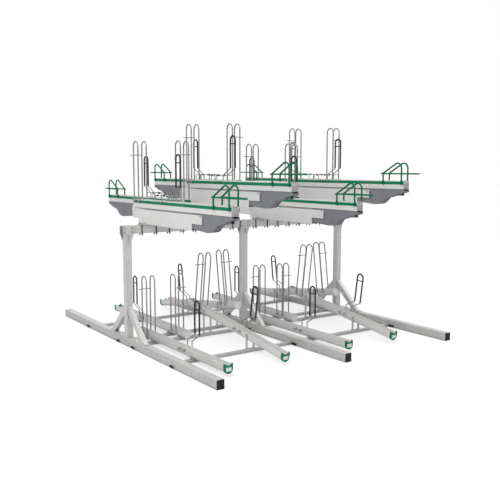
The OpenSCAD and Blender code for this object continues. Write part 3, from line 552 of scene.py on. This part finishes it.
# %% Arm covers
PIVOT = (0.0, -1.245, 1.550)
REACH, DEPTH = 0.574, 0.157  # of the belly, from the pivot
COVER_IN, COVER_OUT = 0.0434, 0.0448
PIN_R = 0.0125
BELLY = (  # shares of reach and depth
    (-1, -0.02), (-0.52, -0.49), (-0.47, -0.66), (-0.375, -0.91), (-0.21, -1), (0.06, -0.925),
    (0.3, -0.85),
)
TOP_EDGE = [(0.3 * REACH, 0.027), (-REACH, 0.027)]
OUTLINE = TOP_EDGE + [(y * REACH, z * DEPTH) for y, z in BELLY]
PIN_ANGLES = [a * math.pi / 12 for a in range(24)]
PIN_HOLE = [(PIN_R * math.cos(a), PIN_R * math.sin(a)) for a in PIN_ANGLES]
SLOT = [(-0.0515, -0.005), (-0.0515, -0.099), (-0.0425, -0.099), (-0.0425, -0.005)]


def arm_cover(work, lie):
    about = lie @ Matrix.Translation(PIVOT)
    sheet_metal(work, [OUTLINE, PIN_HOLE, SLOT], COVER_IN, COVER_OUT, about)


each_tray("arm_cover", arm_cover, grey_coat, "dark_paint", "arm")

# %% [markdown]
# ## Rolled lips
# The long edges of trays and troughs are rolled over. The fold itself is too
# small for the picture, but a thin bead along each edge catches the light as
# a fine bright line, as it does in the photo.

# %% Lip beads
TRAY_LIPS = ((0.0340, -0.0012), (0.0408, -0.0010))  # way from the middle, height
LIP_START, LIP_END, LIP_R = -1.811, 0.296, 0.0018
TROUGH_LIP, TROUGH_LIP_R = (0.0440, -0.0004), 0.0022
TROUGH_LIP_ENDS = (0.022, 1.979)


def tray_lips(work, lie):
    for side in SIDES:
        for x, z in TRAY_LIPS:
            path = [(side * x, y, TRAY_EDGE + z) for y in (LIP_START, LIP_END)]
            sweep(work, path, LIP_R, 8, lie)


def trough_lips(work, lie):
    x, z = TROUGH_LIP
    for side in SIDES:
        sweep(work, [(side * x, y, z) for y in TROUGH_LIP_ENDS], TROUGH_LIP_R, 8, lie)


each_tray("tray_lips", tray_lips, sheet, "sheet")
all_troughs("trough_lips", trough_lips, sheet, "sheet")

# %% [markdown]
# ## Green side strips
# The green strip on each tray side is a moulded cover with rounded edges that
# reaches nearly up to the lip. It is clipped over the flat strip of the CAD
# model, and keeps the same joint and the same inner end, so only its edges
# and its height are new.

# %% Side strips
STRIP_X, STRIP_RISE, STRIP_T, STRIP_H = 0.04363, 0.0685, 0.0031, 0.031
STRIP_ENDS = ((-1.8122, -0.1460), (-0.1400, 0.2192))


def side_strips(work, lie):
    for side in SIDES:
        for start, end in STRIP_ENDS:
            centre = (side * STRIP_X, (start + end) / 2, TRAY_UNDER + STRIP_RISE)
            plate(work, (STRIP_T, end - start, STRIP_H), centre, lie, 0.0012)


each_tray("side_strips", side_strips, green_coat, "green_paint")

# %% [markdown]
# ## Trough ends
# The face of each green end shoe holds a pale panel below its dip, set a
# little proud. A painted patch would be flat from the side, so it is one
# rounded plate per trough.

# %% Trough end panels
PANEL_SIZE, PANEL_CENTRE = (0.066, 0.0024, 0.040), (0.0, -0.0046, -0.050)


def end_panel(work, lie):
    plate(work, PANEL_SIZE, PANEL_CENTRE, lie, 0.0010)


all_troughs("trough_end_panels", end_panel, sheet, "sheet")

# %% [markdown]
# ## Foot clamps
# Hoops, lock loops and guides are held to the tray by small saddle clamps
# over their feet. They are what breaks the green strip in the photo. Each is
# a rounded block, because at this size the eye sees only its edges.

# %% Foot clamps
HOOP_HALF = 0.058  # half the spacing of a hoop's feet


def feet_of(hoop, loop):
    """The feet of a hoop and a lock loop whose middles are at these places."""
    return (hoop - HOOP_HALF, hoop + HOOP_HALF, loop - LOOP_HALF, loop + LOOP_HALF)


TRAY_FEET = feet_of(0.182, -0.470)
TROUGH_FEET = feet_of(1.712, 0.843)
TRAY_CLAMP_X, TROUGH_CLAMP_X, TROUGH_CLAMP_Z = 0.0535, 0.0555, -0.0215
HOOP_CLAMP, LOOP_CLAMP, CLAMP_DROP = 0.022, 0.016, 0.001  # heights, and gap below the lip


def tray_clamps(work, lie):
    for side in SIDES:
        for y in TRAY_FEET:
            high = HOOP_CLAMP if y > 0.0 else LOOP_CLAMP
            centre = (side * TRAY_CLAMP_X, y, TRAY_EDGE - CLAMP_DROP - high / 2)
            plate(work, (0.0200, 0.030, high), centre, lie, 0.002)


def trough_clamps(work, lie):
    for side in SIDES:
        for y in TROUGH_FEET:
            centre = (side * TROUGH_CLAMP_X, y, TROUGH_CLAMP_Z)
            plate(work, (0.0220, 0.034, 0.030), centre, lie, 0.002)


each_tray("foot_clamps", tray_clamps, dipped, "galvanised")
all_troughs("trough_foot_clamps", trough_clamps, dipped, "galvanised")

# %% [markdown]
# ## Shape of a fastener
# The same hexagon sits on every bolt, rod and flange: a washer, the head with
# its turned crown, and the end of the thread. Four drums on one axis make it,
# with their sizes worked out from a few inputs, so one small node tree serves
# every size of bolt.

# %% Fastener shape
HEX_SHARE, CROWN_SHARE = 0.88, 0.12  # of the head's height
CROWN_WIDTH = 0.48  # radius of the turned crown, over the width across flats
THREAD_START, THREAD_SHARE = 0.5, 0.45  # of the head's height


def grow(tree, kind, inputs, **settings):
    """Add a node with its settings, then set or link its inputs."""
    made = tree.nodes.new(kind)
    for key, value in settings.items():
        setattr(made, key, value)
    for key, value in inputs.items():
        if isinstance(value, bpy.types.NodeSocket):
            tree.links.new(value, made.inputs[key])
        else:
            made.inputs[key].default_value = value
    return made.outputs


def fastener_shape(tree, given):
    def maths(operation, a, b):
        return grow(tree, "ShaderNodeMath", {0: a, 1: b}, operation=operation)[0]

    def head(share):
        return maths("MULTIPLY", given["Height"], share)

    def drum(sides, radius, depth, base):
        inputs = {"Vertices": sides, "Radius": radius, "Depth": depth}
        solid = grow(tree, "GeometryNodeMeshCylinder", inputs)["Mesh"]
        middle = maths("ADD", base, maths("MULTIPLY", depth, 0.5))
        high = grow(tree, "ShaderNodeCombineXYZ", {"Z": middle})[0]
        return grow(tree, "GeometryNodeTransform", {"Geometry": solid, "Translation": high})[0]

    rest = given["Washer Height"]
    corner = maths("DIVIDE", given["Flats"], math.sqrt(3))
    width = maths("MULTIPLY", given["Flats"], CROWN_WIDTH)
    length = maths("ADD", given["Tail"], head(THREAD_SHARE))
    drums = (
        drum(24, given["Washer"], rest, 0.0),
        drum(6, corner, head(HEX_SHARE), rest),
        drum(24, width, head(CROWN_SHARE), maths("ADD", rest, head(HEX_SHARE))),
        drum(16, given["Thread"], length, maths("ADD", rest, head(THREAD_START))),
    )
    join = tree.nodes.new("GeometryNodeJoinGeometry")
    for solid in drums:
        tree.links.new(solid, join.inputs[0])
    return join.outputs[0]


print("fastener shape ready:", fastener_shape.__name__)

# %% [markdown]
# ## A fastener on every point
# The tree puts a copy of the shape on each point of a list, turned along that
# point's own direction, and spun by a seeded amount, because no two real nuts
# stop at the same angle. It could be done in Python, point by point, but the
# tree does all the turning at once.

# %% Fastener tree
SIZES = (
    ("Flats", 0.019), ("Height", 0.008), ("Washer", 0.012),
    ("Washer Height", 0.0015), ("Thread", 0.006), ("Tail", 0.004),
)
SEED = 7
SPIN = math.pi / 3  # a hexagon looks the same again after this


def fastener_tree():
    tree = bpy.data.node_groups.new("fasteners", "GeometryNodeTree")
    face = tree.interface
    face.new_socket("Spots", in_out="INPUT", socket_type="NodeSocketGeometry")
    for name, size in SIZES:
        face.new_socket(name, in_out="INPUT", socket_type="NodeSocketFloat").default_value = size
    face.new_socket("Finish", in_out="INPUT", socket_type="NodeSocketMaterial")
    face.new_socket("Mesh", in_out="OUTPUT", socket_type="NodeSocketGeometry")
    given = tree.nodes.new("NodeGroupInput").outputs
    aim = grow(tree, "GeometryNodeInputNamedAttribute", {"Name": "aim"}, data_type="FLOAT_VECTOR")
    turn = grow(tree, "FunctionNodeAlignRotationToVector", {"Vector": aim["Attribute"]}, axis="Z")
    inputs = {"Max": SPIN, "Seed": SEED}
    spin = grow(tree, "FunctionNodeRandomValue", inputs, data_type="FLOAT")["Value"]
    inputs = {"Axis": (0.0, 0.0, 1.0), "Angle": spin}
    about = grow(tree, "FunctionNodeAxisAngleToRotation", inputs)
    inputs = {0: turn[0], 1: about[0]}
    both = grow(tree, "FunctionNodeRotateRotation", inputs, rotation_space="LOCAL")
    shape = fastener_shape(tree, given)
    inputs = {"Points": given["Spots"], "Instance": shape, "Rotation": both[0]}
    copies = grow(tree, "GeometryNodeInstanceOnPoints", inputs)
    real = grow(tree, "GeometryNodeRealizeInstances", {0: copies[0]})
    inputs = {"Geometry": real[0], "Material": given["Finish"]}
    finish = grow(tree, "GeometryNodeSetMaterial", inputs)
    grow(tree, "NodeGroupOutput", {"Mesh": finish[0]})
    return tree


FASTENERS = fastener_tree()
print("fastener tree:", len(FASTENERS.nodes), "nodes")

# %% [markdown]
# ## One set of fasteners
# A set is a mesh of loose points, each with its own direction. The tree grows
# a fastener on each, and the result is kept as a plain mesh, so that the
# piece can ride on its body with nothing live left on it.

# %% Fastener sets
def fasten(name, spots, material, slot, body="rack", stands_for=(), **sizes):
    """spots is a list of (place, direction); sizes are the tree's own inputs"""
    mesh = bpy.data.meshes.new(name)
    mesh.from_pydata([spot for spot, _ in spots], [], [])
    aim = mesh.attributes.new("aim", "FLOAT_VECTOR", "POINT")
    aim.data.foreach_set("vector", [c for _, way in spots for c in way])
    made = bpy.data.objects.new(name, mesh)
    bpy.context.collection.objects.link(made)
    step = made.modifiers.new("fasteners", "NODES")
    step.node_group = FASTENERS
    wanted = {key.replace("_", " "): value for key, value in sizes.items()} | {"Finish": material}
    for item in FASTENERS.interface.items_tree:
        if item.in_out == "INPUT" and item.name in wanted:
            step[item.identifier] = wanted[item.name]
    grown = made.evaluated_get(bpy.context.evaluated_depsgraph_get())
    made_mesh = bpy.data.meshes.new_from_object(grown)
    made.modifiers.remove(step)
    made.data = made_mesh
    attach(made, body)
    if stands_for:
        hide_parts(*stands_for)
    print(name, len(spots), "fasteners,", len(made_mesh.polygons), "faces")


M12 = {"Flats": 0.019, "Washer": 0.0125}
ROD_NUT = {"Flats": 0.017, "Height": 0.008, "Thread": 0.005}
RAIL_BOLT = {"Flats": 0.0210, "Height": 0.0135, "Washer": 0.0135, "Tail": 0.0}
SMALL = {"Flats": 0.010, "Height": 0.004, "Washer": 0.0065, "Washer_Height": 0.0008, "Tail": 0.0}
print("sizes across flats:", [kind["Flats"] for kind in (M12, ROD_NUT, RAIL_BOLT, SMALL)])

# %% [markdown]
# ## Bolts of the posts
# Six bolts hold each post head, four through the beam and two below it, and
# eight hold each foot plate. They stand where the CAD holes are, and take the
# place of the plain CAD bolts.

# %% Fasteners of the posts
HEAD_X, HEAD_Y, HEAD_RISES, NECK_DROPS = 0.044, 0.046, (0.024, 0.071), (0.020, 0.052)
FOOT_X, FOOT_YS, FOOT_TOP = 0.024, (-0.205, -0.120, 0.120, 0.205), 0.103

head_spots, foot_spots = [], []
for x in POSTS:
    corners = [(x + side * HEAD_X, BEAM_UNDER + rise) for side in SIDES for rise in HEAD_RISES]
    neck = [(x, BEAM_UNDER - drop) for drop in NECK_DROPS]
    for bolt_x, bolt_z in corners + neck:
        head_spots += [((bolt_x, side * HEAD_Y, bolt_z), (0, side, 0)) for side in SIDES]
    for side in SIDES:
        foot_spots += [((x + side * FOOT_X, y, FOOT_TOP), (0, 0, 1)) for y in FOOT_YS]
heads = {"stands_for": ("head_bolts",), "Height": 0.008, "Tail": 0.003}
feet = {"stands_for": ("foot_bolts",), "Height": 0.0075, "Tail": 0.0}
fasten("head_fasteners", head_spots, dipped, "galvanised", **heads, **M12)
fasten("foot_fasteners", foot_spots, dipped, "galvanised", **feet, **M12)

# %% [markdown]
# ## Clamp rods of the upper places
# Two threaded rods on each face of the beam clamp every upper place to it,
# with a nut above the seat plate and one below the clamp strap. The rods are
# dark in the photo, so rods and nuts share the dark zinc.

# %% Clamp rods
ROD_X, ROD_Y, ROD_R = 0.092, 0.031, 0.005
STRAP, ROD_LOW, ROD_HIGH = 0.006, 0.028, 0.014  # strap thickness, rod ends past beam and seat

top_spots, low_spots = [], []
work = bmesh.new()
for k in PLACES:
    for sx in SIDES:
        for sy in SIDES:
            x, y, _ = place(k) @ Vector((sx * ROD_X, sy * ROD_Y, 0.0))
            top_spots.append(((x, y, SEAT_TOP), (0, 0, 1)))
            low_spots.append(((x, y, BEAM_UNDER - STRAP), (0, 0, -1)))
            sweep(work, [(x, y, BEAM_UNDER - ROD_LOW), (x, y, SEAT_TOP + ROD_HIGH)], ROD_R)
piece("clamp_threads", work, dark_nut, "rack", "galvanised", ("clamp_rods",))
top, low = {"Washer": 0.012, "Tail": 0.004}, {"Washer": 0.010, "Tail": 0.003}
fasten("clamp_nuts_top", top_spots, dark_nut, "galvanised", **top, **ROD_NUT)
fasten("clamp_nuts_low", low_spots, dark_nut, "galvanised", **low, **ROD_NUT)

# %% [markdown]
# ## Bolts of the floor rails
# Black through bolts tie the floor rails to the runners, two at each rail
# end. On the outer side of the outer runners a washer plate spreads the load
# of both, because the tube wall there has no flange of its own.

# %% Rail fasteners
RAIL_YS, RAIL_Z = (-1.110, -0.198, 0.198, 1.110), 0.0228
WASHER_PLATE, WASHER_X = (0.004, 0.082, 0.034), 0.0442
BOLT_X, BOLT_SPREAD, OUTSIDE = 0.0462, 0.018, BAY - 0.1

rail_spots = []
work = bmesh.new()
for x in POSTS:
    for y in RAIL_YS:
        for side in SIDES:
            if side * x > OUTSIDE:
                plate(work, WASHER_PLATE, (x + side * WASHER_X, y, RAIL_Z), soft=0.0008)
            for bolt in (y - BOLT_SPREAD, y + BOLT_SPREAD):
                rail_spots.append(((x + side * BOLT_X, bolt, RAIL_Z), (side, 0, 0)))
piece("rail_washer_plates", work, dipped, "rack", "galvanised")
stands = {"stands_for": ("rail_bolts",)}
fasten("rail_fasteners", rail_spots, black_cap, "black_bolt", **stands, **RAIL_BOLT)

# %% [markdown]
# ## Bolts of the foot clamps
# Each foot clamp has one small dark bolt from outside. They use the same
# tree with smaller inputs, one set per tray, because it moves, and one for
# all the troughs.

# %% Clamp bolts
TRAY_BOLT_X, TRAY_BOLT_DROP = 0.0635, 0.011
TROUGH_BOLT_X = 0.0665


def clamp_bolts(lie, reach, feet, height):
    return [
        (lie @ Vector((side * reach, y, height)), lie.to_3x3() @ Vector((side, 0.0, 0.0)))
        for side in SIDES for y in feet
    ]


for k in PLACES:
    spots = clamp_bolts(tray_place(k), TRAY_BOLT_X, TRAY_FEET, TRAY_EDGE - TRAY_BOLT_DROP)
    fasten(f"foot_clamp_bolts_{k + 1}", spots, dark_nut, "galvanised", f"tray_{k + 1}", **SMALL)
spots = []
for k in PLACES:
    spots += clamp_bolts(trough_place(k), TROUGH_BOLT_X, TROUGH_FEET, TROUGH_CLAMP_Z)
fasten("trough_clamp_bolts", spots, dark_nut, "galvanised", **SMALL)

# %% [markdown]
# ## Weld beads
# Posts stand on their foot plates, and braces meet both, with a fillet weld
# all round. A bump in the material would not round off the corner. A bead is
# a thin tube whose radius swells in small steps, like the ripples that a
# welder's hand leaves.

# %% Weld beads
WELD_Z = 0.1038  # just over the foot plate
POST_WELD, BRACE_HALF, BRACE_FACE = (0.0378, 0.0403), 0.0253, 0.0408
BRACE_TOP, BRACE_TOP_HALF = 0.4272, 0.0470
BRACE_FOOT, BRACE_FOOT_HALF = 0.3980, 0.0523


def bead(work, corners, radius=0.0034, step=0.004, matrix=Matrix()):
    path = []
    ring = [Vector(c) for c in corners]
    for start, end in zip(ring, ring[1:] + ring[:1]):
        count = max(2, round((end - start).length / step))
        path += [start.lerp(end, i / count) for i in range(count)]
    path.append(ring[0])
    ripple = [0.16 * math.sin(2.1 * i) + 0.06 * math.sin(0.7 * i) for i in range(len(path))]
    sweep(work, path, [radius * (1.0 + swell) for swell in ripple], 8, matrix)


work = bmesh.new()
for x in POSTS:
    bead(work, [(x + sx * POST_WELD[0], sy * POST_WELD[1], WELD_Z) for sx, sy in CORNERS])
    for lie in both_ways(x):
        top = [(sx * BRACE_HALF, BRACE_FACE, BRACE_TOP + sy * BRACE_TOP_HALF) for sx, sy in CORNERS]
        foot = [(sx * BRACE_HALF, BRACE_FOOT + sy * BRACE_FOOT_HALF, WELD_Z) for sx, sy in CORNERS]
        bead(work, top, matrix=lie)
        bead(work, foot, matrix=lie)
made = piece("weld_beads", work, dipped, "rack", "galvanised")
print("weld beads:", len(made.data.polygons), "faces")

# %% [markdown]
# ## Tube caps
# The open runner ends are shut with black moulded caps that have soft edges
# and a shallow panel, and the beam ends with grey ones. They take the place
# of the plain caps of the CAD model. Each is a rounded face plate on a plug.
# The panel lines come before the plates, because a bevel leaves gaps in the
# mesh's own list that later faces would fill in another order on each run.

# %% Tube caps
RUNNER_END, RUNNER_MIDDLE = 1.965, 0.047
BEAM_END, BEAM_MIDDLE = BAY + 0.078, BEAM_UNDER + 0.0475
PANEL_X, PANEL_Y, PANEL_Z = 0.033, -0.0002, 0.038

work = bmesh.new()
panel = [(sx * PANEL_X, PANEL_Y, sy * PANEL_Z) for sx, sy in CORNERS]
end = Matrix.Translation((0.0, RUNNER_END, RUNNER_MIDDLE))
ends = [way @ end for x in POSTS for way in both_ways(x)]
for lie in ends:
    bead(work, panel, 0.0010, 0.02, lie)
for lie in ends:
    plate(work, (0.0838, 0.0060, 0.0936), (0.0, -0.0031, 0.0), lie, 0.0022)
    plate(work, (0.0640, 0.0200, 0.0740), (0.0, -0.0150, 0.0), lie, 0.0012)
made = piece("tube_end_caps", work, black_cap, "rack", "black_plastic", ("tube_caps",))
print("runner caps:", len(made.data.polygons), "faces")
work = bmesh.new()
for way in both_ways():
    lie = way @ Matrix.Translation((BEAM_END, 0.0, BEAM_MIDDLE))
    plate(work, (0.0060, 0.0498, 0.0946), (-0.0031, 0.0, 0.0), lie, 0.0018)
    plate(work, (0.0200, 0.0400, 0.0850), (-0.0150, 0.0, 0.0), lie, 0.0012)
made = piece("beam_end_caps", work, grey_coat, "rack", "dark_paint")
print("beam caps:", len(made.data.polygons), "faces")

# %% [markdown]
# ## Sky
# The photo is a cut-out on white. The camera sees a plain white sky, and the
# steel sees one that is dim at the horizon and bright overhead, because even
# light from everywhere would make all its faces the same grey.

# %% Sky
SKY_LOW, SKY_HIGH = 0.20, 1.12
DIM_BELOW, BRIGHT_ABOVE = -0.05, 0.40  # heights of the view direction
WHITE = (1.0, 1.0, 1.0)

world = bpy.data.worlds.new("studio")
bpy.context.scene.world = world
sky = Paint(world, "Background")
way = sky.node("ShaderNodeTexCoord", {}, {})["Generated"]
high = sky.node("ShaderNodeSeparateXYZ", {}, {0: way})["Z"]
level = sky.spread(high, DIM_BELOW, BRIGHT_ABOVE, SKY_LOW, SKY_HIGH)
ray = sky.node("ShaderNodeLightPath", {}, {})
seen = ray["Is Camera Ray"].maths("MAXIMUM", ray["Is Transmission Ray"])
sky.set(Color=WHITE, Strength=seen.maths("MAXIMUM", level))
print("sky from", SKY_LOW, "to", SKY_HIGH)

# %% [markdown]
# ## Floor
# The floor is white with soft contact shadows. A white enough paint alone
# would throw too much light back up at the rack. So its paint is a mid grey
# that takes the shadows, and a glow that only the camera sees lifts it to
# white.

# %% Floor
FLOOR_REACH, FLOOR_Z = 60.0, -0.0005
FLOOR_PAINT, FLOOR_GLOW = 0.52, 0.44

mesh = bpy.data.meshes.new("floor")
ground = [(sx * FLOOR_REACH, sy * FLOOR_REACH, FLOOR_Z) for sx, sy in CORNERS]
mesh.from_pydata(ground, [], [(0, 1, 2, 3)])
floor = bpy.data.objects.new("floor", mesh)
bpy.context.collection.objects.link(floor)
paint = Paint(bpy.data.materials.new("floor_white"))
ray = paint.node("ShaderNodeLightPath", {}, {})["Is Camera Ray"]
paint.set(
    Base_Color=(FLOOR_PAINT,) * 3, Roughness=0.9,
    Emission_Color=paint.blend(ray, (0.0, 0.0, 0.0), (FLOOR_GLOW,) * 3), Emission_Strength=1.0,
)
mesh.materials.append(paint.owner)
print("floor", 2 * FLOOR_REACH, "m wide")

# %% [markdown]
# ## Lamp
# One broad lamp from the left front gives the steel its soft light and dark
# sides, as the large window or soft box of a photo studio does. A small lamp
# would draw hard shadows of every hoop.

# %% Lamp
KEY_PLACE, KEY_AIM = Vector((-6.0, -4.0, 7.0)), Vector((0.0, 0.0, 0.8))
KEY_SIZE, KEY_WATTS = 5.0, 320.0

key = bpy.data.lights.new("key", "AREA")
key.shape = "SQUARE"
key.size = KEY_SIZE
key.energy = KEY_WATTS
lamp = bpy.data.objects.new("key", key)
bpy.context.collection.objects.link(lamp)
lamp.location = KEY_PLACE
lamp.rotation_euler = (KEY_AIM - KEY_PLACE).to_track_quat("-Z", "Y").to_euler()
bpy.context.scene.view_settings.view_transform = "Standard"
print("lamp", round((KEY_AIM - KEY_PLACE).length, 2), "m from the rack")
